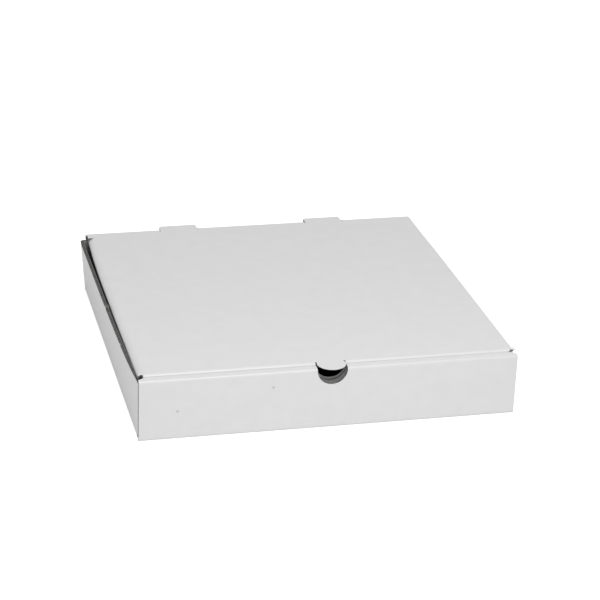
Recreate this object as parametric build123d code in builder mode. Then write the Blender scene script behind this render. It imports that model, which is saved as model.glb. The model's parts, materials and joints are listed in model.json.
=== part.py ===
from build123d import *
from math import sqrt
import os

# A corrugated pizza box folded from one blank: a tray whose front wall rolls over the corner flaps,
# and a lid that turns on the crease along the top of the back wall. Lengths are millimetres.
# X runs to the right, Y from the front to the back crease and Z up, with the origin in the middle
# of the underside of the base.

# Board
board = 3.0  # thickness of the single-wall board
fold_round = 2.0  # outer rounding of a creased fold
layer_gap = 0.2  # air between two layers that are folded against each other
cut_overrun = 5.0  # how far a cut passes the faces that it goes through

# Tray outside
tray_width = 305.0
tray_depth = 305.0
front_height = 50.8
strip_clearance = 0.3  # between the top of the side walls and the strip that rolls over them

# Thumb notch in the front wall
notch_radius = 12.3

# Lock tabs of the inner front panel, and their slots in the base
lock_count = 2
lock_width = 42.0
lock_spacing = 130.0
lock_lift = 0.5  # from the surface under the box up to the end of a lock tab
slot_clearance = 0.4  # at each end of a lock tab

# Corner flaps at the ends of the side walls
front_flap_length = 62.0
rear_flap_length = 56.0
flap_taper = 4.0  # how far the top and bottom edges close in towards the free end
flap_round = 8.0  # free corners

# Back wall
back_inset = 3.5  # from the side of the base to the raw end of the back wall

# Rear tabs, which stay in the lid's plane and leave windows in the back wall
rear_tab_reach = 7.4  # past the outside of the back wall
rear_tab_width = 34.0  # along the crease
rear_tab_taper = 1.3  # how far each end closes in towards the free edge
rear_tab_spacing = 134.0
window_clearance = 0.5

# Lid
lid_rise = 0.8  # of the lid's top above the front wall's
lid_gap = 0.3  # between the lid's flaps and the walls that they slide down behind
hinge_gap = 0.3  # between the back wall's top edge and the rounded rear end of the lid
thumb_clearance = 0.8  # between the thumb tab and the side of its notch

# Tuck flap at the front of the lid
tuck_drop = 37.0  # below the underside of the lid
tuck_ease = 0.8  # more lean than the swing past the front wall needs
tuck_inset = 5.2  # from the side of the lid to the end of the front fold
tuck_taper = 5.0  # how far each end closes in towards the free edge
tuck_round = 12.0  # free corners

# Side flaps of the lid
side_flap_drop = 34.0  # below the underside of the lid
side_flap_front_setback = 4.0  # from the front fold, at the crease
side_flap_rear_setback = 8.0  # from the back crease, at the crease
side_flap_taper = 14.0  # how far each end closes in towards the free edge
side_flap_round = 10.0  # free corners

# Reliefs at the lid's front corners, where the side and front folds meet
relief_radius = 2.2
relief_inset = 3.0  # from the side of the lid to the middle of the relief
relief_setback = 1.0  # from the front fold to the middle of the relief

# Places worked out from the sizes above
half_width = tray_width / 2
front_face = -tray_depth / 2
back_face = tray_depth / 2
layer_pitch = board + layer_gap
front_flap_face = front_face + layer_pitch
inner_panel_face = front_face + 2 * layer_pitch
inner_panel_middle = inner_panel_face + board / 2
roll_back = inner_panel_face + board
roll_half_width = half_width - layer_pitch
rear_flap_face = back_face - layer_pitch
side_height = front_height - board - strip_clearance
lid_top = front_height + lid_rise
lid_underside = lid_top - board
hinge_y = back_face - board / 2
hinge_z = lid_top - board / 2
back_height = lid_underside - hinge_gap
fold_y = roll_back + lid_gap
lid_half_width = half_width - board - lid_gap
thumb_tab_radius = notch_radius - thumb_clearance
tuck_half_width = lid_half_width - tuck_inset

# The free edge of the tuck flap swings on an arc that passes behind the front wall.
swing_radius = hinge_y - fold_y
tuck_swing_y = hinge_y - sqrt(swing_radius**2 - (tuck_drop + board / 2) ** 2)
tuck_lean = tuck_swing_y - fold_y + tuck_ease

# The outline shared by a rear tab and its window: half widths at the crease and at the free edge.
rear_tab_length = board / 2 + rear_tab_reach
rear_tab_root_half = rear_tab_width / 2
rear_tab_tip_half = rear_tab_root_half - rear_tab_taper
rear_tab_places = [(-rear_tab_spacing / 2, 0), (rear_tab_spacing / 2, 0)]


with BuildPart() as tray:
    # Side walls
    with BuildSketch(Plane.XY):
        with GridLocations(tray_width - board, 0, 2, 1):
            Rectangle(board, rear_flap_face - front_flap_face)
    extrude(amount=side_height)

    # Corner flaps: a pair behind the front panel and a pair before the back wall
    for flap_face, flap_length, thickness in (
        (front_flap_face, front_flap_length, board),
        (rear_flap_face, rear_flap_length, -board),
    ):
        with BuildSketch(Plane.XZ.offset(-flap_face)) as corner_flap:
            with BuildLine():
                Polyline(
                    (half_width, layer_pitch),
                    (half_width, side_height),
                    (half_width - board, side_height),
                    (half_width - flap_length, side_height - flap_taper),
                    (half_width - flap_length, layer_pitch + flap_taper),
                    (half_width - board, layer_pitch),
                    close=True,
                )
            make_face()
            fillet(corner_flap.vertices().group_by(Axis.X)[0], radius=flap_round)
            mirror(about=Plane.YZ)
        extrude(amount=-thickness)
    upright_folds = tray.edges().filter_by(Axis.Z).group_by(Axis.X)
    fillet(upright_folds[0] + upright_folds[-1], radius=fold_round)

    # Base, with the front panel and the back wall folded up from it
    with BuildSketch(Plane.YZ):
        with BuildLine():
            Polyline(
                (front_face, 0),
                (back_face, 0),
                (back_face, back_height),
                (back_face - board, back_height),
                (back_face - board, board),
                (front_face + board, board),
                (front_face + board, front_height),
                (front_face, front_height),
                close=True,
            )
        make_face()
    extrude(amount=half_width, both=True)
    fillet(tray.faces().sort_by(Axis.Z)[0].outer_wire().edges(), radius=fold_round)

    # Raw ends of the back wall, which stand in from the side walls
    with BuildSketch(Plane.XY.offset(board)):
        with Locations((half_width - back_inset, back_face - board)):
            Rectangle(back_inset + cut_overrun, board + cut_overrun, align=(Align.MIN, Align.MIN))
        mirror(about=Plane.YZ)
    extrude(amount=back_height, mode=Mode.SUBTRACT)

    # Windows that the rear tabs were cut from
    with BuildSketch(Plane.XZ.offset(-back_face)):
        with Locations(rear_tab_places):
            Polygon(
                (-rear_tab_root_half - window_clearance, hinge_z),
                (-rear_tab_tip_half - window_clearance, hinge_z - rear_tab_length - window_clearance),
                (rear_tab_tip_half + window_clearance, hinge_z - rear_tab_length - window_clearance),
                (rear_tab_root_half + window_clearance, hinge_z),
                align=None,
            )
    extrude(amount=board, both=True, mode=Mode.SUBTRACT)

    # Slots in the base
    with BuildSketch(Plane.XY):
        with Locations((0, inner_panel_middle)):
            with GridLocations(lock_spacing, 0, lock_count, 1):
                Rectangle(lock_width + 2 * slot_clearance, board + 2 * layer_gap)
    extrude(amount=board, mode=Mode.SUBTRACT)

    # Strip that rolls over the corner flaps, with ends that taper to the inner panel
    with BuildSketch(Plane.XY.offset(front_height - board)):
        with BuildLine():
            Polyline(
                (-half_width, front_face),
                (half_width, front_face),
                (half_width, front_face + board),
                (roll_half_width, roll_back),
                (-roll_half_width, roll_back),
                (-half_width, front_face + board),
                close=True,
            )
        make_face()
    extrude(amount=board)

    # Inner panel, and the lock tabs that hold it in the base
    with BuildSketch(Plane.XY.offset(layer_pitch)):
        with Locations((0, inner_panel_middle)):
            Rectangle(2 * roll_half_width, board)
    extrude(amount=front_height - layer_pitch)
    with BuildSketch(Plane.XY.offset(lock_lift)):
        with Locations((0, inner_panel_middle)):
            with GridLocations(lock_spacing, 0, lock_count, 1):
                Rectangle(lock_width, board)
    extrude(amount=layer_pitch - lock_lift)
    fillet(tray.edges().filter_by(Axis.X).group_by(Axis.Z)[-1], radius=fold_round)

    # Thumb notch, cut through every layer of the front wall
    with BuildSketch(Plane.XZ.offset(-front_face + cut_overrun)):
        with Locations((0, front_height)):
            Circle(notch_radius)
    extrude(amount=-(roll_back - front_face + 2 * cut_overrun), mode=Mode.SUBTRACT)

with BuildPart() as lid:
    # Panel
    with BuildSketch(Plane.YZ):
        with Locations(((fold_y + hinge_y) / 2, hinge_z)):
            Rectangle(hinge_y - fold_y, board)
    extrude(amount=lid_half_width, both=True)

    # Side flaps
    for side in (-1, 1):
        with BuildSketch(Plane.YZ.offset(side * lid_half_width)) as side_flap:
            with BuildLine():
                Polyline(
                    (fold_y + side_flap_front_setback, hinge_z),
                    (fold_y + side_flap_front_setback, lid_underside),
                    (fold_y + side_flap_front_setback + side_flap_taper, lid_underside - side_flap_drop),
                    (hinge_y - side_flap_rear_setback - side_flap_taper, lid_underside - side_flap_drop),
                    (hinge_y - side_flap_rear_setback, lid_underside),
                    (hinge_y - side_flap_rear_setback, hinge_z),
                    close=True,
                )
            make_face()
            fillet(side_flap.vertices().group_by(Axis.Y)[0], radius=side_flap_round)
        extrude(amount=-side * board)
    fillet(lid.edges().filter_by(Axis.Y).group_by(Axis.Z)[-1], radius=fold_round)

    # Rear end, rounded about the crease between the side folds
    with BuildSketch(Plane.YZ):
        with Locations((hinge_y, hinge_z)):
            Circle(board / 2)
    extrude(amount=lid_half_width - fold_round, both=True)

    # Corner reliefs
    with BuildSketch(Plane.XY.offset(lid_underside)):
        with Locations((0, fold_y + relief_setback)):
            with GridLocations(2 * (lid_half_width - relief_inset), 0, 2, 1):
                Circle(relief_radius)
    extrude(amount=board, mode=Mode.SUBTRACT)

    # Front fold and tuck flap, with the half-moon hole that the thumb tab leaves
    front_fold = lid.edges().filter_by(Axis.X).group_by(Axis.Z)[-1].sort_by(Axis.Y)[0]
    fillet(front_fold, radius=fold_round)
    tuck_face = Plane((0, fold_y, lid_underside), x_dir=(1, 0, 0), z_dir=(0, -tuck_drop, -tuck_lean))
    with BuildSketch(tuck_face) as tuck_flap:
        with BuildLine():
            Polyline(
                (-tuck_half_width, 0),
                (-tuck_half_width + tuck_taper, -tuck_drop),
                (tuck_half_width - tuck_taper, -tuck_drop),
                (tuck_half_width, 0),
                close=True,
            )
        make_face()
        fillet(tuck_flap.vertices().group_by(Axis.Y)[0], radius=tuck_round)
        with Locations((0, board)):
            Circle(thumb_tab_radius, mode=Mode.SUBTRACT)
    extrude(amount=-board)

    # Thumb tab in the lid's plane, over the notch
    with BuildSketch(Plane.XY.offset(lid_underside)):
        with Locations((0, fold_y)):
            Circle(thumb_tab_radius)
    extrude(amount=board)

    # Rear tabs in the lid's plane, past the crease
    with BuildSketch(Plane.XY.offset(lid_underside)):
        with Locations(rear_tab_places):
            Polygon(
                (-rear_tab_root_half, hinge_y),
                (rear_tab_root_half, hinge_y),
                (rear_tab_tip_half, hinge_y + rear_tab_length),
                (-rear_tab_tip_half, hinge_y + rear_tab_length),
                align=None,
            )
    extrude(amount=board)

os.makedirs("parts", exist_ok=True)
tray.part.label = "tray"
export_step(tray.part, "parts/tray.step")
lid.part.label = "lid"
export_step(lid.part, "parts/lid.step")
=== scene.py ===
import json
from math import asin, atan2, ceil, cos, pi, radians, sin, sqrt, tan

import bpy
import bmesh
import numpy as np
from bpy.props import FloatProperty, FloatVectorProperty, PointerProperty, StringProperty
from mathutils import Matrix, Vector
from mathutils.geometry import tessellate_polygon


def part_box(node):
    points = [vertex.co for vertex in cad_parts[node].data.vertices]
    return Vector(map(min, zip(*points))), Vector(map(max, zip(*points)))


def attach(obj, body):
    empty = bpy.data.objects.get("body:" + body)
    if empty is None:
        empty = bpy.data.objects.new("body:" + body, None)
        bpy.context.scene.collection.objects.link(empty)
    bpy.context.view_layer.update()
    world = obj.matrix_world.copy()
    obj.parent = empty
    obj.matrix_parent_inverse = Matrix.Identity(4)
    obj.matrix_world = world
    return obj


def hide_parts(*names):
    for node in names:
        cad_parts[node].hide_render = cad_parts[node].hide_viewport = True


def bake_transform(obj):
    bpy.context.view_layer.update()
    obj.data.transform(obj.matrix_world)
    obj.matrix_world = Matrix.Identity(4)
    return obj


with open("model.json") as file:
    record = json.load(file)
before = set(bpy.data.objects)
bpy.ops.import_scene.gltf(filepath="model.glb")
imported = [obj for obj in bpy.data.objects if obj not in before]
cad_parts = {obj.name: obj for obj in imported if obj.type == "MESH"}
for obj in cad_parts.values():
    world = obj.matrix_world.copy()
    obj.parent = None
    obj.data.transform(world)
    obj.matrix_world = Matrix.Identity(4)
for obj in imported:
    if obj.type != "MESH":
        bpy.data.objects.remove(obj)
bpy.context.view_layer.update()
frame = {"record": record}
TRAY_LOW, TRAY_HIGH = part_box("tray")
LID_LOW, LID_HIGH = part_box("lid")
HINGE = Vector(frame["record"]["behaviour"]["joints"][0]["pos_m"])
MM = 0.001
QUARTER = pi / 2

bl_info = {
    "name": "Corrugated pizza box",
    "version": (1, 0, 0),
    "blender": (4, 5, 0),
    "location": "3D View > Sidebar > Pizza Box",
    "description": "Folds a white corrugated pizza box out of liners and fluted medium",
    "category": "Add Mesh",
}

# How finely round cuts, folds and flutes are divided
CORNER_STEPS = 10
NOTCH_STEPS = 24
TAB_STEPS = 16
RELIEF_STEPS = 14
FOLD_STEPS = 6
HANGING_STEPS = 8
FLUTE_STEPS = 6
# The medium is straight along its flutes, so its faces there are this many times as long as a liner's
MEDIUM_STRETCH = 5
# Lines beside a fold or a cut, as shares of how far the board is pressed in there
BESIDE_SHARES = (1 / 3, 2 / 3, 1)
# Points nearer than this length, and corners that span less than this area, count as one
TINY_LENGTH = 1e-9
TINY_AREA = 1e-14
# Panels are welded where points fall on one micrometre; the shift keeps round sizes off the halves
WELD_STEPS = 1e6
WELD_SHIFT = 0.237
# Share of a fold's radius that is left to the board inside it
FOLD_FILL_SHARE = 0.85
SHARP_ANGLE = radians(35)


def length(name, default, description):
    """A length that a user would change, in metres."""
    return FloatProperty(name=name, description=description, default=default, unit="LENGTH", precision=5)


def proportion(name, default, description):
    """A share between zero and one that a user would change."""
    return FloatProperty(
        name=name, description=description, default=default, subtype="FACTOR", min=0, max=1
    )


def degrees(name, default, description):
    """An angle that a user would change, given here in degrees."""
    return FloatProperty(name=name, description=description, default=radians(default), subtype="ANGLE")


def hex_value(name, default, description):
    """A colour that a user would change, as an sRGB hex value."""
    return StringProperty(name=name, description=description, default=default)


class BoardSizes(bpy.types.PropertyGroup):
    """The corrugated board and how it takes a fold or a cut"""

    thickness: length("Thickness", 3.0 * MM, "Thickness of the single-wall board")
    liner: length("Liner", 0.35 * MM, "Thickness of each liner")
    medium: length("Medium", 0.3 * MM, "Thickness of the fluted paper between the liners")
    pitch: length("Flute pitch", 4.9 * MM, "From one flute to the next")
    bend: length("Bend", 0.8 * MM, "Radius of a fold at the middle of the board")
    foot_bend: length("Foot bend", 0.3 * MM, "Radius of the tighter folds around the base")
    corner_bend: length("Corner bend", 1.6 * MM, "Radius of the folds at the upright corners")
    crush: proportion("Crush", 0.88, "Share of the board pressed flat at the half-moon cut")
    notch_crush: proportion("Notch crush", 0.55, "The same share at the notch")
    crush_reach: length("Crush reach", 10.0 * MM, "How far in from its edge the thumb tab is pressed flat")
    notch_reach: length("Notch reach", 3.0 * MM, "The same reach at the notch and the half-moon hole")
    relief_reach: length("Relief reach", 2.0 * MM, "The same reach at the round cuts in the lid's corners")
    crease_bend: length("Crease bend", 0.4 * MM, "Radius of the back crease at the middle of the board")
    pinch_reach: length("Pinch reach", 2.5 * MM, "How far from a fold the inner liner is pressed in")
    layer_gap: length("Layer gap", 0.2 * MM, "Air between two layers that are folded together")
    grid: length("Grid", 9.0 * MM, "Largest size of a face of a liner")


class TraySizes(bpy.types.PropertyGroup):
    """Panels, cuts and flaps of the tray"""

    notch_radius: length("Notch radius", 12.2 * MM, "Thumb notch in the front wall")
    notch_drop: length("Notch drop", 1.4 * MM, "From the top of the front wall to the middle of the notch")
    notch_shift: length("Notch shift", 0.35 * MM, "How far right of the middle the notch is cut")
    strip_lift: length("Strip lift", 0.5 * MM, "How far the roll-over springs up above its true height")
    strip_loss: length("Strip loss", 0.9 * MM, "How far the roll-over has drawn in before the lid's fold")
    strip_clearance: length("Strip clearance", 0.3 * MM, "Between the side walls and the unsprung strip")
    lock_width: length("Lock width", 42.0 * MM, "Lock tabs of the inner front panel")
    lock_spacing: length("Lock spacing", 130.0 * MM, "Between the middles of the lock tabs")
    lock_lift: length("Lock lift", 0.5 * MM, "From the floor up to the end of a lock tab")
    slot_clearance: length("Slot clearance", 0.4 * MM, "At each end of a lock tab in its slot")
    front_flap: length("Front flap", 62.0 * MM, "Length of the corner flaps in the front wall")
    rear_flap: length("Rear flap", 56.0 * MM, "Length of the corner flaps before the back wall")
    flap_taper: length("Flap taper", 4.0 * MM, "How far a corner flap closes in to its free end")
    flap_round: length("Flap round", 8.0 * MM, "Free corners of the corner flaps")
    left_back: length("Left back inset", 2.0 * MM, "From the tray's side to the back wall's left end")
    right_back: length("Right back inset", 4.6 * MM, "The same at the right end")
    left_inset: length("Left inset", 7.0 * MM, "From the tray's side to the inner panel's left end")
    right_inset: length("Right inset", 3.2 * MM, "The same at the right end")
    nick_width: length("Nick width", 3.6 * MM, "Torn tufts of board on the top edge of the left wall")


class LidSizes(bpy.types.PropertyGroup):
    """Panels, cuts and flaps of the lid"""

    tab_radius: length("Thumb tab", 11.5 * MM, "Radius of the half-moon thumb tab")
    tab_setout: length("Thumb tab set-out", 1.8 * MM, "From the front fold to the middle of the thumb tab")
    hole_radius: length("Hole radius", 12.2 * MM, "Half-moon hole that the tab leaves in the tuck flap")
    hole_depth: length("Hole depth", 12.7 * MM, "From the lid's top down to the foot of that hole")
    tuck_drop: length("Tuck drop", 37.0 * MM, "Tuck flap below the underside of the lid")
    tuck_lean: length("Tuck lean", 3.33 * MM, "How far back the free edge of the tuck flap leans")
    tuck_inset: length("Tuck inset", 3.6 * MM, "From the side of the lid to the end of the front fold")
    tuck_taper: length("Tuck taper", 5.0 * MM, "How far the tuck flap closes in to its free edge")
    tuck_round: length("Tuck round", 12.0 * MM, "Free corners of the tuck flap")
    flap_drop: length("Side flap drop", 34.0 * MM, "Side flaps below the underside of the lid")
    flap_front: length("Side flap front", 4.0 * MM, "From the front fold to the side flap")
    flap_rear: length("Side flap rear", 10.0 * MM, "From the back crease to the side flap")
    flap_taper: length("Side flap taper", 14.0 * MM, "How far a side flap closes in to its free edge")
    flap_round: length("Side flap round", 10.0 * MM, "Free corners of the side flaps")
    rear_inset: length("Rear inset", 1.2 * MM, "From the lid's right side to its end behind the side flap")
    left_bend: length("Left bend", 4.5 * MM, "Radius of the left fold, which has sprung open a little")
    left_cut: length("Left relief radius", 1.1 * MM, "Round cut at the left front corner, pressed open")
    right_cut: length("Right relief radius", 0.5 * MM, "Round cut at the right front corner, pressed shut")
    left_relief: length("Left relief inset", 2.1 * MM, "From the lid's side to the middle of the left cut")
    right_relief: length("Right relief inset", 3.1 * MM, "The same on the right")
    relief_setback: length("Relief setback", 0.4 * MM, "From the front fold to the middle of a relief")
    rear_tab_width: length("Rear tab width", 34.0 * MM, "Rear tabs along the crease")
    rear_tab_taper: length("Rear tab taper", 0.6 * MM, "How far a rear tab closes in to its free edge")
    rear_tab_spacing: length("Rear tab spacing", 134.0 * MM, "Between the middles of the rear tabs")
    rear_tab_shift: length("Rear tab shift", 0.8 * MM, "How far right the rear tabs and windows are cut")
    window_clearance: length("Window clearance", 0.5 * MM, "Between a rear tab and its window")
    # Painted highlight: how far the face liner is whitened along the lid's front fold, standing in for the
    # light the fold catches
    painted_highlight: proportion("Wear", 0.6, "How white the coat has gone at the front fold")
    crease_reach: length("Crease reach", 3.5 * MM, "Board on each side of the crease that bends with it")


class HandlingSizes(bpy.types.PropertyGroup):
    """How far the folded box stands out of true"""

    splay: length("Splay", 4.45 * MM, "How far the top of the left wall leans out")
    splay_start: length("Splay start", 12.0 * MM, "From the front face to where that lean starts")
    splay_growth: length("Splay growth", 70.0 * MM, "Distance over which that lean grows")
    splay_bow: FloatProperty(name="Splay bow", description="Below one, it grows sooner", default=0.75)
    splay_back: length("Splay at the back", 3.6 * MM, "Lean of the left wall at its back corner")
    back_reach: length("Back reach", 16.0 * MM, "Stretch before the back corner where the lean goes down")
    left_bulge: length("Left bulge", 2.8 * MM, "How far the lid's left fold stands out")
    front_loss: length("Front loss", 0.7 * MM, "How much less it stands out at the front corner")
    front_reach: length("Front reach", 150.0 * MM, "From the front face to where it stands out fully")
    bulge_end: length("Bulge end", 195.0 * MM, "From the front face to where that bulge starts to go down")
    bulge_loss: FloatProperty(name="Bulge loss", description="How fast it then goes down", default=0.2)
    right_bulge: length("Right bulge", 4.0 * MM, "How far the lid's right fold stands out over the wall")
    right_loss: FloatProperty(name="Right loss", description="The same on the right", default=0.18)
    right_fade: length("Right fade", 3.6 * MM, "From the lid's top down to where the right flap hangs free")
    fold_depth: length("Fold depth", 4.0 * MM, "From the lid's top down to where the bulge starts to end")
    fold_fade: length("Fold fade", 2.0 * MM, "From there down to where the bulge has ended")
    flap_tuck: length("Flap tuck", 4.5 * MM, "How far in the left flap hangs below its fold")
    tuck_fade: length("Tuck fade", 9.0 * MM, "Height over which it comes in that far")
    skew: length("Skew", 0.95 * MM, "How far the front of the lid has moved to the right")
    left_rise: length("Left rise", 0.4 * MM, "How far the left end of the lid's back edge stands up")
    right_rise: length("Right rise", 1.3 * MM, "How far the right end of the lid's back edge stands up")
    rise_reach: length("Rise reach", 60.0 * MM, "From the back crease to where the lid lies level")


class BoardColours(bpy.types.PropertyGroup):
    """Colours of the papers and of the floor"""

    face: hex_value("Face", "E2E2E2", "White clay-coated liner")
    face_dark: hex_value("Face, thin", "DFDFDF", "Where the coating is thin")
    # Painted highlight colour: along the lid's front fold the face liner is whitened towards it, standing
    # in for the light the fold catches
    crease: hex_value("Crease", "EEEEEE", "Coat that a fold has stretched")
    speck: hex_value("Speck", "B4B4B4", "Grey fibres caught in the coating")
    back: hex_value("Back", "A7A6A5", "Uncoated liner inside the box")
    back_dark: hex_value("Back, cloudy", "9E9D9C", "Clouds in that liner")
    medium: hex_value("Medium", "929190", "Grey fluted paper")
    medium_dark: hex_value("Medium, dark", "787776", "Darker clouds in the fluted paper")
    floor: hex_value("Floor", "FAFAFA", "Floor that the box stands on")


class StageSettings(bpy.types.PropertyGroup):
    """Camera and light"""

    target: FloatVectorProperty(
        name="Target",
        description="Point that the camera looks at",
        default=(10.04 * MM, -2.5 * MM, 43.7 * MM),
        unit="LENGTH",
    )
    distance: length("Distance", 1712.5 * MM, "From the camera to its target")
    azimuth: degrees("Azimuth", -14.37, "Camera turned to the left of the front")
    elevation: degrees("Elevation", 23.56, "Camera above the level")
    roll: degrees("Roll", 2.26, "Camera turned about its view")
    lens: FloatProperty(name="Lens", description="Focal length", default=121.28, unit="CAMERA")
    sensor: FloatProperty(name="Sensor", description="Width of the sensor", default=36.0, unit="CAMERA")
    ambient: proportion("Ambient", 0.6, "Strength of the white surroundings")
    key: FloatProperty(name="Key", description="Power of the soft lamp", default=3.48, unit="POWER")
    key_place: FloatVectorProperty(
        name="Key place",
        description="Middle of the soft lamp, which faces the box",
        default=(0, -640.0 * MM, 800.0 * MM),
        unit="LENGTH",
    )
    key_width: length("Key width", 500.0 * MM, "Width of the soft lamp")
    key_depth: length("Key depth", 300.0 * MM, "Depth of the soft lamp")
    floor_half: length("Floor half", 4000.0 * MM, "From the middle of the floor to its edge")
    floor_drop: length("Floor drop", 0.2 * MM, "From the underside of the box down to the floor")
    floor_lift: proportion("Floor lift", 0.6, "Light added where the floor is seen, so that it is white")


def hex_colour(text):
    """An sRGB hex value as a linear colour with alpha."""
    parts = [int(text[place:place + 2], 16) / 255 for place in (0, 2, 4)]
    linear = [part / 12.92 if part <= 0.04045 else ((part + 0.055) / 1.055) ** 2.4 for part in parts]
    return (*linear, 1.0)


# Outlines in the flat blank: u runs across the box and along the flutes, v from the front to the back


def rounded(points):
    """An outline through (u, v) corners, with an arc at each corner that has a radius as well."""
    outline = []
    for place, point in enumerate(points):
        if len(point) == 2:
            outline.append(point)
            continue
        here = Vector(point[:2])
        before = (Vector(points[place - 1][:2]) - here).normalized()
        after = (Vector(points[(place + 1) % len(points)][:2]) - here).normalized()
        half = before.angle(after) / 2
        middle = here + (before + after).normalized() * point[2] / sin(half)
        first = here + before * point[2] / tan(half) - middle
        last = here + after * point[2] / tan(half) - middle
        turn = first.angle_signed(last)
        for step in range(CORNER_STEPS + 1):
            outline.append(tuple(middle + Matrix.Rotation(-turn * step / CORNER_STEPS, 2) @ first))
    return outline


def arc(middle, radius, start, end, steps):
    """Points on a circle from one angle to another."""
    angles = [start + (end - start) * step / steps for step in range(steps + 1)]
    return [(middle[0] + radius * cos(angle), middle[1] + radius * sin(angle)) for angle in angles]


def both_halves(right, left):
    """A whole outline from two right halves, which start and end on the middle line; one is mirrored."""
    return right + [(-u, v) for u, v in reversed(left[1:-1])]


def other_side(outline):
    """The outline mirrored in the middle line, still turning the same way."""
    return [(-u, v) for u, v in reversed(outline)]


def cut_faces(faces, axis, places):
    """Faces cut along lines across an axis, so that a flat panel can be bent."""
    tiny = TINY_LENGTH
    result = []
    for face in faces:
        low_end = min(point[axis] for point in face)
        high_end = max(point[axis] for point in face)
        for place in places:
            if not low_end + tiny < place < high_end - tiny:
                continue
            low, high = [], []
            for point, following in zip(face, face[1:] + face[:1]):
                here, there = point[axis] - place, following[axis] - place
                if here <= tiny:
                    low.append(point)
                if here >= -tiny:
                    high.append(point)
                if abs(here) > tiny and abs(there) > tiny and here * there < 0:
                    share = here / (here - there)
                    crossing = tuple(a + (b - a) * share for a, b in zip(point, following))
                    low.append(crossing)
                    high.append(crossing)
            result.append(low)
            face = high
        result.append(face)
    return [face for face in result if len(face) > 2]


def panel_faces(outlines, u_lines, v_lines):
    """Small flat faces that fill an outline around its holes, all turning the same way."""
    points = [point for outline in outlines for point in outline]
    rings = [[Vector((u, v, 0)) for u, v in outline] for outline in outlines]
    faces = []
    for triangle in tessellate_polygon(rings):
        a, b, c = (points[corner] for corner in triangle)
        turn = (b[0] - a[0]) * (c[1] - a[1]) - (b[1] - a[1]) * (c[0] - a[0])
        if abs(turn) > TINY_AREA:
            faces.append([a, b, c] if turn > 0 else [a, c, b])
    return cut_faces(cut_faces(faces, 0, u_lines), 1, v_lines)


def even_lines(reach, spacing):
    """Lines to both sides of the middle, evenly spaced."""
    count = ceil(reach / spacing)
    return [spacing * place for place in range(-count, count + 1)]


def fold_lines(folds, board, sides):
    """Lines through each fold and through the board that is pressed in beside it, on one side or both."""
    lines = []
    for start, radius, angle in folds:
        end = start + radius * angle
        lines += [start + (end - start) * step / FOLD_STEPS for step in range(FOLD_STEPS + 1)]
        lines += [start - board.pinch_reach * share for share in BESIDE_SHARES]
        lines += [end + board.pinch_reach * share for share in BESIDE_SHARES]
    return [side * line for side in sides for line in lines]


def ring_lines(middle, radius, reach):
    """Lines beside a round cut, where the board is pressed flat."""
    return [middle + side * (radius + reach * share) for side in (-1, 1) for share in (0, *BESIDE_SHARES)]


# Folding the flat blank


def smooth(share):
    """A share held between zero and one, with a soft start and end."""
    share = np.clip(share, 0, 1)
    return share * share * (3 - 2 * share)


def follow(distance, offset, folds):
    """Walk along a sheet that turns at each (start, radius, angle); offset stands out from its middle."""
    along = np.zeros_like(distance)
    up = np.zeros_like(distance)
    turned = np.zeros_like(distance)
    place = heading = 0.0
    for start, radius, angle in (*folds, (np.inf, 1.0, 0.0)):
        run = np.clip(distance - place, 0, start - place)
        bent = np.clip((distance - start) / radius, 0, angle)
        along += run * cos(heading) + radius * (np.sin(heading + bent) - sin(heading))
        up += run * sin(heading) + radius * (cos(heading) - np.cos(heading + bent))
        turned += bent
        place = start + radius * angle
        heading += angle
    return along + offset * np.sin(turned), up - offset * np.cos(turned)


def pinch(distance, offset, folds, board):
    """The offset with the inner side of the board pressed in at each fold."""
    for start, radius, angle in folds:
        end = start + radius * angle
        away = np.maximum(np.maximum(start - distance, distance - end), 0)
        near = smooth(1 - away / board.pinch_reach)
        left = min(FOLD_FILL_SHARE * radius / (board.thickness / 2), 1)
        offset = np.where(offset < 0, offset * (1 - near * (1 - left)), offset)
    return offset


def crush(beside, offset, reach, share, board):
    """The offset with a share of the board pressed flat to its face, within reach of a die-cut edge."""
    near = np.clip(1 - np.abs(beside) / reach, 0, 1)
    face = board.thickness / 2
    return face - (face - offset) * (1 - share * near)


# Tufts on the top edge of the left wall, as a place along it and a height
LEFT_NICKS = ((-75.8 * MM, 1.0 * MM), (-4.4 * MM, 3.0 * MM))


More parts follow.
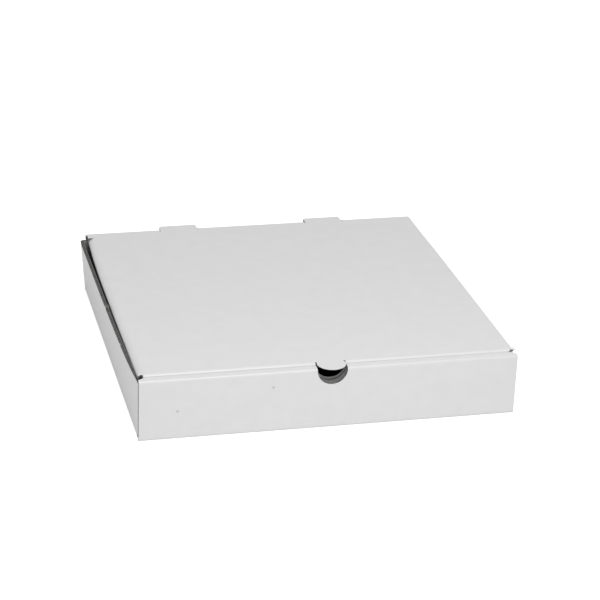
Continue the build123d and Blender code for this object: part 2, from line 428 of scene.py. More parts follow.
class Tray:
    """Places on the tray's blank, worked out from its sizes."""

    def __init__(self, board, sizes, lid):
        self.board = board
        self.sizes = sizes
        half_board = board.thickness / 2
        quarter_bend = board.bend * QUARTER
        pitch = board.thickness + board.layer_gap
        self.half_width = TRAY_HIGH.x
        self.front_height = TRAY_HIGH.z + sizes.strip_lift
        self.side_height = TRAY_HIGH.z - board.thickness - sizes.strip_clearance
        self.foot = half_board + board.foot_bend
        self.shoulder = half_board + board.bend
        base_end = TRAY_HIGH.y - self.foot
        wall_start = base_end + board.foot_bend * QUARTER
        strip_fold = wall_start + self.front_height - self.foot - self.shoulder
        strip_start = strip_fold + quarter_bend
        inner_fold = strip_start + 2 * pitch - 2 * board.bend - sizes.strip_loss
        self.inner_start = inner_fold + quarter_bend
        self.strip_start = strip_start
        self.base_end = base_end
        self.wall_start = wall_start
        self.layer_pitch = pitch
        self.inner_middle = TRAY_LOW.y + 2 * pitch + half_board
        foot_fold = (base_end, board.foot_bend, QUARTER)
        self.front_folds = [foot_fold, (strip_fold, board.bend, QUARTER), (inner_fold, board.bend, QUARTER)]
        crease_fold = wall_start + HINGE.z - board.crease_bend - self.foot
        self.back_folds = [foot_fold, (crease_fold, board.crease_bend, QUARTER)]
        self.back_end = crease_fold - lid.crease_reach + board.crease_bend
        self.lid_end = crease_fold + board.crease_bend * QUARTER + lid.crease_reach - board.crease_bend
        self.side_folds = [(self.half_width - self.foot, board.foot_bend, QUARTER)]
        self.side_wall = self.half_width - self.foot + board.foot_bend * QUARTER
        self.corner = half_board + board.corner_bend
        self.flap_fold = TRAY_HIGH.y - pitch - self.corner
        self.flap_folds = [(self.flap_fold, board.corner_bend, QUARTER)]
        self.flap_start = self.flap_fold + board.corner_bend * QUARTER
        self.notch_near = -strip_fold - self.shoulder + sizes.notch_drop
        self.notch_far = -self.inner_start + self.shoulder - sizes.notch_drop

    def inner(self, height):
        """Distance along the front fold-over at a height of the inner panel."""
        return self.inner_start + self.front_height - self.shoulder - height

    def back(self, height):
        """Distance from the middle of the blank at a height of the back wall."""
        return self.wall_start + height - self.foot

    def side(self, height):
        """Distance from the middle of the blank at a height of a side wall."""
        return self.side_wall + height - self.foot

    def fold_strip(self, u, v, w):
        """Front wall, base and back wall, folded from the middle of the blank."""
        board = self.board
        radius = self.sizes.notch_radius
        beyond = v - np.clip(v, self.notch_far, self.notch_near)
        beside = np.hypot(u - self.sizes.notch_shift, beyond) - radius
        along_flutes = np.square(np.clip(beyond / radius, -1, 1))
        w = crush(beside, w, board.notch_reach, board.notch_crush * along_flutes, board)
        front = pinch(-v, w, self.front_folds, board)
        back = pinch(v, w, self.back_folds, board)
        front_y, front_z = follow(np.maximum(-v, 0), front, self.front_folds)
        back_y, back_z = follow(np.maximum(v, 0), back, self.back_folds)
        y = np.where(v < 0, -front_y, back_y)
        z = np.where(v < 0, front_z, back_z) + board.thickness / 2
        return np.stack([u, y, z], axis=1)

    def fold_side(self, u, v, w):
        """A side wall with its corner flaps, folded from the side of the base."""
        board = self.board
        across, along = np.abs(u), np.abs(v)
        w = pinch(along, pinch(across, w, self.side_folds, board), self.flap_folds, board)
        y, inward = follow(along, w, self.flap_folds)
        x, z = follow(across, -inward, self.side_folds)
        return np.stack([np.sign(u) * x, np.sign(v) * y, z + board.thickness / 2], axis=1)


class Lid:
    """Places on the lid's blank, worked out from its sizes; the bend is that of its side fold."""

    def __init__(self, board, sizes, bend):
        self.board = board
        self.sizes = sizes
        half_board = board.thickness / 2
        self.half_width = LID_HIGH.x
        self.middle = LID_HIGH.z - half_board
        self.fold_y = LID_LOW.y + sizes.tab_radius
        self.front_end = -self.fold_y - half_board - board.bend
        angle = QUARTER + atan2(sizes.tuck_lean, sizes.tuck_drop)
        self.front_folds = [(self.front_end, board.bend, angle)]
        self.tuck_start = self.front_end + board.bend * angle
        rise = board.bend * (1 - cos(angle))
        self.tuck_end = self.tuck_start + (half_board + sizes.tuck_drop - rise) / sin(angle)
        self.side_end = self.half_width - half_board - bend
        self.side_folds = [(self.side_end, bend, QUARTER)]
        self.side_start = self.side_end + bend * QUARTER
        self.flap_end = self.side_start + half_board + sizes.flap_drop - bend
        self.rear = HINGE.y - sizes.crease_reach
        self.tab_y = self.fold_y - sizes.tab_setout
        hole_foot = self.tuck_start + sizes.hole_depth - half_board - board.bend
        self.hole_middle = sizes.hole_radius - hole_foot
        self.hole_half = sqrt(sizes.hole_radius ** 2 - (self.front_end + self.hole_middle) ** 2)
        self.left_relief = self.half_width - sizes.left_relief
        self.right_relief = self.half_width - sizes.right_relief
        self.relief_y = self.fold_y + sizes.relief_setback

    def press(self, beside, v, w, reach):
        """The offset pressed flat beside the half-moon cut, but not on the lid's side of the front fold."""
        beside = np.abs(beside) + np.maximum(v + self.front_end + reach, 0)
        return crush(beside, w, reach, self.board.crush, self.board)

    def lie_flat(self, u, v, w):
        """The lid's panel, pressed flat at its thumb tab and around its left relief."""
        board = self.board
        w = self.press(np.hypot(u, v - self.tab_y) - self.sizes.tab_radius, v, w, board.crush_reach)
        beside = np.hypot(u + self.left_relief, v - self.relief_y) - self.sizes.left_cut
        w = crush(beside, w, board.relief_reach, board.crush, board)
        return np.stack([u, v, self.middle + w], axis=1)

    def fold_front(self, u, v, w):
        """The tuck flap, folded down at the front of the lid."""
        beside = np.hypot(u, v - self.hole_middle) - self.sizes.hole_radius
        w = self.press(beside, v, w, self.board.notch_reach)
        w = pinch(-v, w, self.front_folds, self.board)
        y, down = follow(-v, w, self.front_folds)
        return np.stack([u, -y, self.middle - down], axis=1)

    def fold_side(self, u, v, w):
        """A side flap, folded down at the side of the lid."""
        w = pinch(np.abs(u), w, self.side_folds, self.board)
        x, down = follow(np.abs(u), w, self.side_folds)
        return np.stack([np.sign(u) * x, v, self.middle - down], axis=1)


# The shape that the box has taken from folding and handling


class Handling:
    """How the walls and the lid stand out of true, as they do on a box that was folded by hand."""

    def __init__(self, sizes, tray, crease_reach):
        self.sizes = sizes
        self.tray = tray
        self.crease_reach = crease_reach

    def lean(self, points):
        """How far the left wall stands out at each point's depth and height."""
        sizes = self.sizes
        foot = self.tray.foot
        depth = points[:, 1] - TRAY_LOW.y
        run = np.maximum(depth - sizes.splay_start, 0) / sizes.splay_growth
        grown = 1 - np.exp(-run ** sizes.splay_bow)
        lost = smooth((points[:, 1] - TRAY_HIGH.y) / sizes.back_reach + 1)
        lean = sizes.splay * grown * (1 - lost * (1 - sizes.splay_back / sizes.splay))
        return lean * np.maximum(points[:, 2] - foot, 0) / (self.tray.side_height - foot)

    def keep(self, points):
        """Panels that stand true."""
        return points

    def shape_left_wall(self, points):
        """The left wall, leaning out at its top."""
        return points - np.outer(self.lean(points), (1, 0, 0))

    def shape_lid(self, points):
        """The lid, with its side folds bulged, its front moved aside and its back edge risen."""
        sizes = self.sizes
        x, y, z = points.T
        edge = np.square(x / LID_HIGH.x)
        depth = y - TRAY_LOW.y
        behind = HINGE.y - y
        bulge = sizes.left_bulge - sizes.bulge_loss * np.square(np.maximum(depth - sizes.bulge_end, 0))
        bulge -= sizes.front_loss * smooth(1 - depth / sizes.front_reach)
        high = smooth((z - LID_HIGH.z + sizes.fold_depth) / sizes.fold_fade + 1)
        hanging = smooth((LID_HIGH.z - sizes.fold_depth - z) / sizes.tuck_fade)
        left = high * bulge - hanging * sizes.flap_tuck
        right = sizes.right_bulge - sizes.right_loss * np.square(np.maximum(depth - sizes.bulge_end, 0))
        right *= smooth((z - LID_HIGH.z) / sizes.right_fade + 1)
        middle = sizes.skew * behind / (HINGE.y - LID_LOW.y)
        rise = sizes.left_rise + (sizes.right_rise - sizes.left_rise) * (x / LID_HIGH.x + 1) / 2
        above = smooth((z - HINGE.z) / self.crease_reach + 1)
        moved = points.copy()
        moved[:, 0] += edge * np.where(x < 0, -left, right) + (1 - edge) * middle
        moved[:, 2] += rise * above * smooth(1 - behind / sizes.rise_reach)
        return moved


def turning(fold, u, v, reach):
    """How far the board turns within reach of each point, from zero on a flat panel to one at a fold."""

    def facing(along):
        out = fold(u, along, np.full_like(u, reach)) - fold(u, along, np.zeros_like(u))
        return out / np.linalg.norm(out, axis=1, keepdims=True)

    return np.linalg.norm(facing(v + reach) - facing(v - reach), axis=1) / sqrt(2)


# Outlines of the panels


def strip_half(tray, lid_sizes, inner_inset, back_inset, shift):
    """The right half of the strip that makes the back wall, the base and the roll-over front."""
    sizes = tray.sizes
    board = tray.board
    inner_half = tray.half_width - inner_inset
    inner_end, lock_end = -tray.inner(tray.layer_pitch), -tray.inner(sizes.lock_lift)
    lock_near = (sizes.lock_spacing - sizes.lock_width) / 2
    lock_far = (sizes.lock_spacing + sizes.lock_width) / 2
    base_half = tray.half_width - tray.foot
    back_half = tray.half_width - back_inset
    window_middle = lid_sizes.rear_tab_spacing / 2 + shift
    window_half = lid_sizes.rear_tab_width / 2 + lid_sizes.window_clearance
    window_foot = HINGE.z - (LID_HIGH.y - HINGE.y) - lid_sizes.window_clearance
    narrow = window_half - lid_sizes.rear_tab_taper
    wide = window_half - lid_sizes.rear_tab_taper * lid_sizes.crease_reach / (HINGE.z - window_foot)
    return [
        (0, inner_end),
        (lock_near, inner_end),
        (lock_near, lock_end),
        (lock_far, lock_end),
        (lock_far, inner_end),
        (inner_half, inner_end),
        (inner_half, -tray.inner_start),
        (tray.half_width, -tray.strip_start - board.bend),
        (tray.half_width, -tray.base_end),
        (base_half, -tray.base_end),
        (base_half, -tray.flap_fold),
        (base_half, tray.flap_fold),
        (base_half, tray.base_end),
        (back_half, tray.base_end),
        (back_half, tray.back_end),
        (window_middle + wide, tray.back_end),
        (window_middle + narrow, tray.back(window_foot)),
        (window_middle - narrow, tray.back(window_foot)),
        (window_middle - wide, tray.back_end),
        (0, tray.back_end),
    ]


def strip_outline(tray, lid_sizes):
    """Back wall, base and roll-over front, as one strip of the blank, with its holes."""
    sizes = tray.sizes
    board = tray.board
    shift = lid_sizes.rear_tab_shift
    right = strip_half(tray, lid_sizes, sizes.right_inset, sizes.right_back, shift)
    left = strip_half(tray, lid_sizes, sizes.left_inset, sizes.left_back, -shift)
    slot_half = sizes.lock_width / 2 + sizes.slot_clearance
    slot_depth = board.thickness / 2 + board.layer_gap
    holes = []
    for middle in (-sizes.lock_spacing / 2, sizes.lock_spacing / 2):
        holes.append([
            (middle - slot_half, tray.inner_middle - slot_depth),
            (middle + slot_half, tray.inner_middle - slot_depth),
            (middle + slot_half, tray.inner_middle + slot_depth),
            (middle - slot_half, tray.inner_middle + slot_depth),
        ])
    holes.append(
        arc((sizes.notch_shift, tray.notch_near), sizes.notch_radius, 0, pi, NOTCH_STEPS)
        + arc((sizes.notch_shift, tray.notch_far), sizes.notch_radius, pi, 2 * pi, NOTCH_STEPS)
    )
    return [both_halves(right, left), *holes]


def side_outline(tray, nicks):
    """The right side wall with its two corner flaps, and a tuft on its top edge at each of the nicks."""
    sizes = tray.sizes
    low, high = tray.layer_pitch, tray.side_height
    half = sizes.nick_width / 2
    tufts = []
    for nick, height in nicks:
        tufts += [
            (tray.side(high), nick - half),
            (tray.side(high + height), nick - half / 2),
            (tray.side(high + height), nick + half / 2),
            (tray.side(high), nick + half),
        ]
    front_end = tray.flap_start + sizes.front_flap - tray.corner
    rear_end = tray.flap_start + sizes.rear_flap - tray.corner
    return rounded([
        (tray.half_width - tray.foot, -tray.flap_fold),
        (tray.side(low), -tray.flap_fold),
        (tray.side(low), -tray.flap_start),
        (tray.side(low + sizes.flap_taper), -front_end, sizes.flap_round),
        (tray.side(high - sizes.flap_taper), -front_end, sizes.flap_round),
        (tray.side(high), -tray.flap_start),
        *tufts,
        (tray.side(high), tray.flap_start),
        (tray.side(high - sizes.flap_taper), rear_end, sizes.flap_round),
        (tray.side(low + sizes.flap_taper), rear_end, sizes.flap_round),
        (tray.side(low), tray.flap_start),
        (tray.side(low), tray.flap_fold),
        (tray.half_width - tray.foot, tray.flap_fold),
    ])


def lid_half(lid, relief, cut, rear_inset, shift):
    """The right half of the lid's panel with its thumb tab and rear tab, all in one plane."""
    sizes = lid.sizes
    fold = -lid.front_end
    tab_angle = asin((fold - lid.tab_y) / sizes.tab_radius)
    tuck_half = lid.half_width - sizes.tuck_inset
    flap_front = lid.fold_y + sizes.flap_front
    flap_rear = HINGE.y - sizes.flap_rear
    slit = lid.board.layer_gap
    tab_middle = sizes.rear_tab_spacing / 2 + shift
    tab_root = sizes.rear_tab_width / 2
    tab_tip = tab_root - sizes.rear_tab_taper
    right = arc((0, lid.tab_y), sizes.tab_radius, -QUARTER, tab_angle, TAB_STEPS)
    right += [(lid.hole_half, fold), (tuck_half, fold)]
    right += arc((relief, lid.relief_y), cut, pi, 0, RELIEF_STEPS)
    right += [
        (relief + cut, lid.fold_y),
        (lid.half_width, lid.fold_y),
        (lid.half_width, flap_front - slit),
        (lid.side_end, flap_front - slit),
        (lid.side_end, flap_front),
        (lid.side_end, flap_rear),
        (lid.side_end, flap_rear + slit),
        (lid.half_width - rear_inset, flap_rear + slit),
        (lid.half_width - rear_inset, lid.rear),
        (tab_middle + tab_root + slit, lid.rear),
        (tab_middle + tab_root, HINGE.y),
        (tab_middle + tab_tip, LID_HIGH.y),
        (tab_middle - tab_tip, LID_HIGH.y),
        (tab_middle - tab_root, HINGE.y),
        (tab_middle - tab_root - slit, lid.rear),
        (0, lid.rear),
    ]
    return right


def tuck_outline(lid):
    """The tuck flap from the front fold down, with the half-moon hole that the thumb tab leaves."""
    sizes = lid.sizes
    fold = -lid.front_end
    tuck_half = lid.half_width - sizes.tuck_inset
    angle = asin((fold - lid.hole_middle) / sizes.hole_radius)
    right = rounded([
        (0, -lid.tuck_end),
        (tuck_half - sizes.tuck_taper, -lid.tuck_end, sizes.tuck_round),
        (tuck_half, -lid.tuck_start),
        (tuck_half, fold),
        (lid.hole_half, fold),
    ])
    right += arc((0, lid.hole_middle), sizes.hole_radius, angle, -QUARTER, TAB_STEPS)[1:]
    return [both_halves(right, right)]


def flap_outline(lid):
    """The right side flap of the lid, from its fold down."""
    sizes = lid.sizes
    front = lid.fold_y + sizes.flap_front
    rear = HINGE.y - sizes.flap_rear
    return rounded([
        (lid.side_end, front),
        (lid.side_start, front),
        (lid.flap_end, front + sizes.flap_taper, sizes.flap_round),
        (lid.flap_end, rear - sizes.flap_taper, sizes.flap_round),
        (lid.side_start, rear),
        (lid.side_end, rear),
    ])


def crease_outlines(tray, sizes):
    """The three stretches of the back crease, beside and between the lid's rear tabs."""
    left_tab = sizes.rear_tab_shift - sizes.rear_tab_spacing / 2
    right_tab = sizes.rear_tab_shift + sizes.rear_tab_spacing / 2
    half = sizes.rear_tab_width / 2 + sizes.window_clearance
    left_end = tray.sizes.left_back - tray.half_width
    right_end = tray.half_width - tray.sizes.right_back
    stretches = (
        (left_end, left_tab - half),
        (left_tab + half, right_tab - half),
        (right_tab + half, right_end),
    )
    return [
        [(left, tray.back_end), (right, tray.back_end), (right, tray.lid_end), (left, tray.lid_end)]
        for left, right in stretches
    ]


# Building the layers of the board


def layer_mesh(name, panels, low, high, shown, reach, painted_highlight):
    """A closed sheet of paper between two offsets from the middle of the board, welded along its folds.

    The side that is shown, 0 above or 1 below, has the first material, its core and cut edges the second.
    The crease attribute holds a painted highlight: how much the face is whitened where the board turns
    within reach.
    """
    known = {}
    faces, flat, tops, bottoms, painted_highlights = [], [], [], [], []
    for panel, fold, shape in panels:
        corners = sorted({point for face in panel for point in face})
        u, v = np.array(corners).T
        middle = fold(u, v, np.zeros_like(u))
        top = shape(fold(u, v, high(v)))
        bottom = shape(fold(u, v, low(v)))
        # Painted highlight: whitening where the board turns, squared so that it stays narrow on the ridge
        crease = painted_highlight * np.square(turning(fold, u, v, reach))
        place_of = {}
        for place, point in enumerate(corners):
            key = tuple(np.round(middle[place] * WELD_STEPS + WELD_SHIFT).astype(int))
            if key not in known:
                known[key] = len(flat)
                flat.append(point)
                tops.append(top[place])
                bottoms.append(bottom[place])
                painted_highlights.append(crease[place])
            place_of[point] = known[key]
        for face in panel:
            ring = []
            for point in face:
                if place_of[point] not in ring:
                    ring.append(place_of[point])
            if len(ring) > 2:
                faces.append(ring)
    count = len(flat)
    sides = {(a, b) for ring in faces for a, b in zip(ring, ring[1:] + ring[:1])}
    rim = [(b, a, a + count, b + count) for a, b in sorted(sides) if (b, a) not in sides]
    under = [[corner + count for corner in reversed(ring)] for ring in faces]
    mesh = bpy.data.meshes.new(name)
    mesh.from_pydata([tuple(point) for point in tops + bottoms], [], faces + under + rim)
    slots = np.ones(len(mesh.polygons), dtype=np.int32)
    slots[shown * len(faces):(shown + 1) * len(faces)] = 0
    mesh.polygons.foreach_set("material_index", slots)
    mesh.attributes.new("crease", "FLOAT", "POINT").data.foreach_set("value", np.tile(painted_highlights, 2))
    blank = mesh.uv_layers.new(name="blank")
    corners = np.empty(len(mesh.loops), dtype=np.int32)
    mesh.loops.foreach_get("vertex_index", corners)
    blank.uv.foreach_set("vector", np.array(flat)[corners % count].ravel())
    whole = bmesh.new()
    whole.from_mesh(mesh)
    bmesh.ops.recalc_face_normals(whole, faces=whole.faces)
    whole.to_mesh(mesh)
    whole.free()
    mesh.shade_smooth()
    mesh.set_sharp_from_angle(angle=SHARP_ANGLE)
    piece = bpy.data.objects.new(name, mesh)
    bpy.context.collection.objects.link(piece)
    return piece


def board_layers(name, panels, board, reach, u_lines, v_lines, painted_highlight=0.0):
    """The face liner, the fluted medium and the back liner of a folded board, cut along the given lines."""
    half = board.thickness / 2
    half_medium = board.medium / 2
    wave = half - board.liner - half_medium
    liner_u = sorted(u_lines + even_lines(reach, board.grid))
    liner_v = sorted(v_lines + even_lines(reach, board.grid))
    medium_u = sorted(u_lines + even_lines(reach, MEDIUM_STRETCH * board.grid))
    medium_v = sorted(v_lines + even_lines(reach, board.pitch / FLUTE_STEPS))
    liner_panels = [(panel_faces(outlines, liner_u, liner_v), *maps) for outlines, *maps in panels]
    medium_panels = [(panel_faces(outlines, medium_u, medium_v), *maps) for outlines, *maps in panels]

    def level(height):
        return lambda v: np.full_like(v, height)

    def flute(offset):
        return lambda v: wave * np.sin(2 * pi * v / board.pitch) + offset

    # Painted highlight: reach and strength of the whitening along the folds
    crease = (board.bend, painted_highlight)
    return [
        layer_mesh(name + "_face_liner", liner_panels, level(half - board.liner), level(half), 0, *crease),
        layer_mesh(name + "_medium", medium_panels, flute(-half_medium), flute(half_medium), 0, *crease),
        layer_mesh(name + "_back_liner", liner_panels, level(-half), level(board.liner - half), 1, *crease),
    ]


# Materials


# Grey fibres in the coating of the front wall, as a place on the blank and a radius
FACE_SPECKS = ((-122.2 * MM, -173.1 * MM, 1.6 * MM), (-46.8 * MM, -187.7 * MM, 1.5 * MM))
# Paper typically has this index of refraction
PAPER_IOR = 1.5
CLOUD_DETAIL = 4.0
FIBRE_DETAIL = 2.0
# Values that the noise of the clouds mostly lies between
CLOUD_LOW = 0.3
CLOUD_HIGH = 0.7
# Height of the fibres and of the flutes on the surface, and how much of the fibres shows
TOOTH_HEIGHT = 0.05 * MM
TOOTH_STRENGTH = 0.25
# Length over which the wave texture repeats at a scale of one
WAVE_PERIOD = pi / 10


def add_node(tree, kind, settings=None, links=None):
    """Add a node; settings go to its properties or sockets by name, links join outputs to its sockets."""
    node = tree.nodes.new(kind)

    def socket(name):
        return next((found for found in node.inputs if found.name == name and found.enabled), None)

    for name, value in (settings or {}).items():
        if socket(name):
            socket(name).default_value = value
        else:
            setattr(node, name, value)
    for name, source in (links or {}).items():
        tree.links.new(source, node.inputs[name] if isinstance(name, int) else socket(name))
    return next((found for found in node.outputs if found.enabled), None)


def paper_material(
    name, light, dark, pitch, fibre, cloud, roughness, ribs, crease=None, specks=(), speck=None
):
    """Paper made on a wire: clouds of thick and thin fibre, fine tooth, and the flutes showing through.

    Single fibres are too fine to show, so the tooth is drawn as coarse as small tufts of them.
    """
    material = bpy.data.materials.new(name)
    material.use_nodes = True
    tree = material.node_tree
    tree.nodes.clear()
    blank = add_node(tree, "ShaderNodeUVMap", {"uv_map": "blank"})
    clouds = add_node(
        tree, "ShaderNodeTexNoise", {"Scale": 1 / cloud, "Detail": CLOUD_DETAIL}, {"Vector": blank}
    )
    fibres = add_node(
        tree, "ShaderNodeTexNoise", {"Scale": 1 / fibre, "Detail": FIBRE_DETAIL}, {"Vector": blank}
    )
    share = add_node(
        tree, "ShaderNodeMapRange", {"From Min": CLOUD_LOW, "From Max": CLOUD_HIGH}, {"Value": clouds}
    )
    colour = add_node(
        tree,
        "ShaderNodeMix",
        {"data_type": "RGBA", "A": hex_colour(light), "B": hex_colour(dark)},
        {"Factor": share},
    )
    # Painted highlight: the colour is whitened towards the crease colour where the crease attribute marks a
    # fold
    if crease:
        folded = add_node(tree, "ShaderNodeAttribute", {"attribute_name": "crease"})
        colour = add_node(
            tree,
            "ShaderNodeMix",
            {"data_type": "RGBA", "B": hex_colour(crease)},
            {"Factor": folded, "A": colour},
        )
    for u, v, radius in specks:
        place = add_node(
            tree,
            "ShaderNodeMapping",
            {"Location": (-u / radius, -v / radius, 0), "Scale": (1 / radius, 1 / radius, 1)},
            {"Vector": blank},
        )
        spot = add_node(tree, "ShaderNodeTexGradient", {"gradient_type": "SPHERICAL"}, {"Vector": place})
        colour = add_node(
            tree,
            "ShaderNodeMix",
            {"data_type": "RGBA", "B": hex_colour(speck)},
            {"Factor": spot, "A": colour},
        )
    tooth = add_node(
        tree, "ShaderNodeBump", {"Strength": TOOTH_STRENGTH, "Distance": TOOTH_HEIGHT}, {"Height": fibres}
    )
    flutes = add_node(
        tree,
        "ShaderNodeTexWave",
        {"bands_direction": "Y", "Scale": WAVE_PERIOD / pitch, "Distortion": 0.0},
        {"Vector": blank},
    )
    normal = add_node(
        tree,
        "ShaderNodeBump",
        {"Strength": ribs, "Distance": TOOTH_HEIGHT},
        {"Height": flutes, "Normal": tooth},
    )
    shader = add_node(
        tree,
        "ShaderNodeBsdfPrincipled",
        {"Roughness": roughness, "IOR": PAPER_IOR},
        {"Base Color": colour, "Normal": normal},
    )
    add_node(tree, "ShaderNodeOutputMaterial", None, {"Surface": shader})


def board_materials(board, colours):
    """The three papers of the board, made once and shared by all its pieces."""
    names = ("clay_coated_white_liner", "uncoated_pale_liner", "grey_fluting_paper")
    if names[0] not in bpy.data.materials:
        # Calendered clay coat: even white with a soft sheen, faint clouds, the flutes just showing, and a
        # painted highlight along the lid's front fold
        paper_material(
            names[0],
            colours.face,
            colours.face_dark,
            board.pitch,
            fibre=0.9 * MM,
            cloud=14.0 * MM,
            roughness=0.3,
            ribs=0.2,
            crease=colours.crease,
            specks=FACE_SPECKS,
            speck=colours.speck,
        )
        # Uncoated machine-made paper: greyer, more cloudy and rougher
        paper_material(
            names[1],
            colours.back,
            colours.back_dark,
            board.pitch,
            fibre=0.7 * MM,
            cloud=6.0 * MM,
            roughness=0.8,
            ribs=0.3,
        )
        # Recycled fibre, pressed into flutes: dark grey, and fuzzy where it is cut
        paper_material(
            names[2],
            colours.medium,
            colours.medium_dark,
            board.pitch,
            fibre=0.5 * MM,
            cloud=2.0 * MM,
            roughness=0.9,
            ribs=0.0,
        )
    face, back, core = (bpy.data.materials[name] for name in names)
    return (face, core), (core, core), (back, core)


def dress(layers, scene):
    """Give the face liner, the medium and the back liner their papers."""
    for piece, papers in zip(layers, board_materials(scene.box_board, scene.box_colours)):
        for paper in papers:
            piece.data.materials.append(paper)


class BOX_OT_tray(bpy.types.Operator):
    """Fold the tray: base, back wall, side walls with corner flaps, and the roll-over front wall"""

    bl_idname = "pizza_box.tray"
    bl_label = "Tray"

    def execute(self, context):
        scene = context.scene
        board = scene.box_board
        tray = Tray(board, scene.box_tray, scene.box_lid)
        right_side = side_outline(tray, ())
        left_side = other_side(side_outline(tray, LEFT_NICKS))
        handling = Handling(scene.box_handling, tray, scene.box_lid.crease_reach)
        panels = [
            (strip_outline(tray, scene.box_lid), tray.fold_strip, handling.keep),
            ([right_side], tray.fold_side, handling.keep),
            ([left_side], tray.fold_side, handling.shape_left_wall),
        ]
        notch = scene.box_tray.notch_radius
        u_lines = fold_lines(tray.side_folds, board, (-1, 1))
        u_lines += ring_lines(scene.box_tray.notch_shift, notch, board.notch_reach)
        v_lines = fold_lines(tray.front_folds, board, (-1,)) + fold_lines(tray.back_folds[:1], board, (1,))
        v_lines += fold_lines(tray.flap_folds, board, (-1, 1))
        v_lines += ring_lines(tray.notch_near, notch, board.notch_reach)
        v_lines += ring_lines(tray.notch_far, notch, board.notch_reach)
        layers = board_layers("tray", panels, board, tray.inner(0), u_lines, v_lines)
        dress(layers, scene)
        for piece in layers:
            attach(piece, "tray")
            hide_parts("tray")
        return {"FINISHED"}


class BOX_OT_lid(bpy.types.Operator):
    """Fold the lid: panel, thumb tab, rear tabs, tuck flap and side flaps"""

    bl_idname = "pizza_box.lid"
    bl_label = "Lid"

    def execute(self, context):
        scene = context.scene
        board = scene.box_board
        sizes = scene.box_lid
        lid = Lid(board, sizes, board.bend)
        left_lid = Lid(board, sizes, sizes.left_bend)
        tray = Tray(board, scene.box_tray, sizes)
        shape = Handling(scene.box_handling, tray, sizes.crease_reach).shape_lid
        shift = sizes.rear_tab_shift
        relief = (sizes.left_cut, board.relief_reach)
        right_half = lid_half(lid, lid.right_relief, sizes.right_cut, sizes.rear_inset, shift)
        left_half = lid_half(left_lid, lid.left_relief, sizes.left_cut, 0, -shift)
        panels = [
            ([both_halves(right_half, left_half)], lid.lie_flat, shape),
            (tuck_outline(lid), lid.fold_front, shape),
            ([flap_outline(lid)], lid.fold_side, shape),
            ([other_side(flap_outline(left_lid))], left_lid.fold_side, shape),
        ]
        tab = sizes.tab_radius
        u_lines = fold_lines(lid.side_folds, board, (1,)) + fold_lines(left_lid.side_folds, board, (-1,))
        u_lines += ring_lines(0, tab, -board.crush_reach)
        u_lines += ring_lines(-lid.left_relief, *relief)
        bent = scene.box_handling.fold_depth + scene.box_handling.tuck_fade
        u_lines += [-left_lid.side_start - bent * step / HANGING_STEPS for step in range(HANGING_STEPS + 1)]
        v_lines = fold_lines(lid.front_folds, board, (-1,)) + ring_lines(lid.relief_y, *relief)
        v_lines += ring_lines(lid.tab_y, tab, -board.crush_reach)
        v_lines += ring_lines(lid.hole_middle, sizes.hole_radius, board.notch_reach)
        layers = board_layers("lid", panels, board, left_lid.flap_end, u_lines, v_lines, sizes.painted_highlight)
        dress(layers, scene)
        for piece in layers:
            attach(piece, "lid")
            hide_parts("lid")
        return {"FINISHED"}


class BOX_OT_crease(bpy.types.Operator):
    """Join the back wall to the lid by the board of the crease"""

    bl_idname = "pizza_box.crease"
    bl_label = "Back crease"

    def execute(self, context):
        scene = context.scene
        board = scene.box_board
        sizes = scene.box_lid
        tray = Tray(board, scene.box_tray, sizes)
        shape = Handling(scene.box_handling, tray, sizes.crease_reach).shape_lid
        panels = [([outline], tray.fold_strip, shape) for outline in crease_outlines(tray, sizes)]
        v_lines = fold_lines(tray.back_folds[1:], board, (1,))
        layers = board_layers("back_crease", panels, board, tray.lid_end, [], v_lines)
        dress(layers, scene)
        for piece in layers:
            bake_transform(piece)
        return {"FINISHED"}


class BOX_OT_stage(bpy.types.Operator):
    """Add the pale floor, the soft light and the camera"""

    bl_idname = "pizza_box.stage"
    bl_label = "Stage"

    def execute(self, context):
        scene = context.scene
        stage = scene.box_stage
        add_floor(stage, scene.box_colours.floor)
        add_light(scene, stage)
        add_camera(scene, stage)
        scene.view_settings.view_transform = "Standard"
        return {"FINISHED"}


def add_floor(stage, colour):
    """A wide pale floor that keeps the shadow of the box and is white away from it."""
    half = stage.floor_half
    mesh = bpy.data.meshes.new("floor")
    corners = [(-half, -half), (half, -half), (half, half), (-half, half)]
    mesh.from_pydata([(x, y, -stage.floor_drop) for x, y in corners], [], [(0, 1, 2, 3)])
    material = bpy.data.materials.new("matt_white_floor")
    material.use_nodes = True
    tree = material.node_tree
    tree.nodes.clear()
    diffuse = add_node(tree, "ShaderNodeBsdfDiffuse", {"Color": hex_colour(colour)})
    lift = add_node(tree, "ShaderNodeEmission", {"Strength": stage.floor_lift})
    lifted = add_node(tree, "ShaderNodeAddShader", None, {0: diffuse, 1: lift})
    seen = add_node(tree, "ShaderNodeLightPath")
    floor_seen = add_node(tree, "ShaderNodeMixShader", None, {0: seen, 1: diffuse, 2: lifted})
    add_node(tree, "ShaderNodeOutputMaterial", None, {"Surface": floor_seen})
    mesh.materials.append(material)
    floor = bpy.data.objects.new("floor", mesh)
    bpy.context.collection.objects.link(floor)


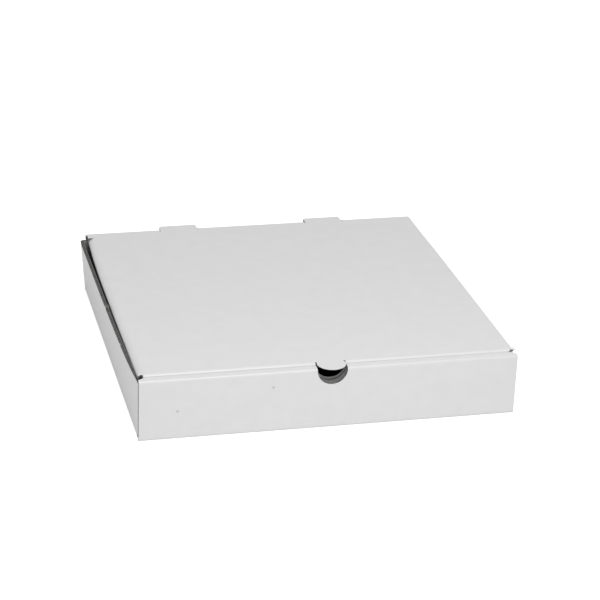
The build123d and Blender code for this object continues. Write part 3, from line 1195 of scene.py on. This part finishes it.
def add_light(scene, stage):
    """White surroundings, and one large soft lamp above and before the box."""
    world = bpy.data.worlds.new("white_room")
    world.use_nodes = True
    tree = world.node_tree
    tree.nodes.clear()
    seen = add_node(tree, "ShaderNodeLightPath")
    mirrored = seen.node.outputs["Is Glossy Ray"]
    shown = add_node(tree, "ShaderNodeMath", {"operation": "MAXIMUM"}, {0: seen, 1: mirrored})
    strength = add_node(
        tree, "ShaderNodeMapRange", {"To Min": stage.ambient, "To Max": 1.0}, {"Value": shown}
    )
    background = add_node(tree, "ShaderNodeBackground", {"Color": (1, 1, 1, 1)}, {"Strength": strength})
    add_node(tree, "ShaderNodeOutputWorld", None, {"Surface": background})
    scene.world = world
    lamp = bpy.data.lights.new("front_softbox", "AREA")
    lamp.shape = "RECTANGLE"
    lamp.size = stage.key_width
    lamp.size_y = stage.key_depth
    lamp.energy = stage.key
    place = Vector(stage.key_place)
    softbox = bpy.data.objects.new("front_softbox", lamp)
    softbox.location = place
    softbox.rotation_euler = place.to_track_quat("Z", "Y").to_euler()
    bpy.context.collection.objects.link(softbox)


def add_camera(scene, stage):
    """A long lens from the front left and above, where the photograph was taken from."""
    azimuth, elevation, roll = stage.azimuth, stage.elevation, stage.roll
    back = Vector((sin(azimuth) * cos(elevation), -cos(azimuth) * cos(elevation), sin(elevation)))
    right = (-back).cross(Vector((0, 0, 1))).normalized()
    up = right.cross(-back)
    rolled_right = right * cos(roll) + up * sin(roll)
    rolled_up = up * cos(roll) - right * sin(roll)
    data = bpy.data.cameras.new("camera")
    data.sensor_width = stage.sensor
    data.lens = stage.lens
    camera = bpy.data.objects.new("camera", data)
    turn = Matrix((rolled_right, rolled_up, back)).transposed().to_4x4()
    camera.matrix_world = Matrix.Translation(Vector(stage.target) + back * stage.distance) @ turn
    bpy.context.collection.objects.link(camera)
    scene.camera = camera


class BOX_PT_panel(bpy.types.Panel):
    """Lists the pieces of the box"""

    bl_idname = "BOX_PT_panel"
    bl_label = "Pizza Box"
    bl_space_type = "VIEW_3D"
    bl_region_type = "UI"
    bl_category = "Pizza Box"

    def draw(self, context):
        for operator in OPERATORS:
            self.layout.operator(operator.bl_idname)
        for group in SETTINGS:
            settings = getattr(context.scene, group)
            box = self.layout.box()
            for name in type(settings).__annotations__:
                box.prop(settings, name)


SETTINGS = {
    "box_board": BoardSizes,
    "box_tray": TraySizes,
    "box_lid": LidSizes,
    "box_handling": HandlingSizes,
    "box_colours": BoardColours,
    "box_stage": StageSettings,
}
OPERATORS = (BOX_OT_tray, BOX_OT_lid, BOX_OT_crease, BOX_OT_stage)


def register():
    for name, group in SETTINGS.items():
        bpy.utils.register_class(group)
        setattr(bpy.types.Scene, name, PointerProperty(type=group))
    for item in (*OPERATORS, BOX_PT_panel):
        bpy.utils.register_class(item)


def unregister():
    for item in (BOX_PT_panel, *reversed(OPERATORS)):
        bpy.utils.unregister_class(item)
    for name, group in SETTINGS.items():
        delattr(bpy.types.Scene, name)
        bpy.utils.unregister_class(group)


def main():
    register()
    bpy.ops.pizza_box.tray()
    bpy.ops.pizza_box.lid()
    bpy.ops.pizza_box.crease()
    bpy.ops.pizza_box.stage()


if __name__ == "__main__":
    main()
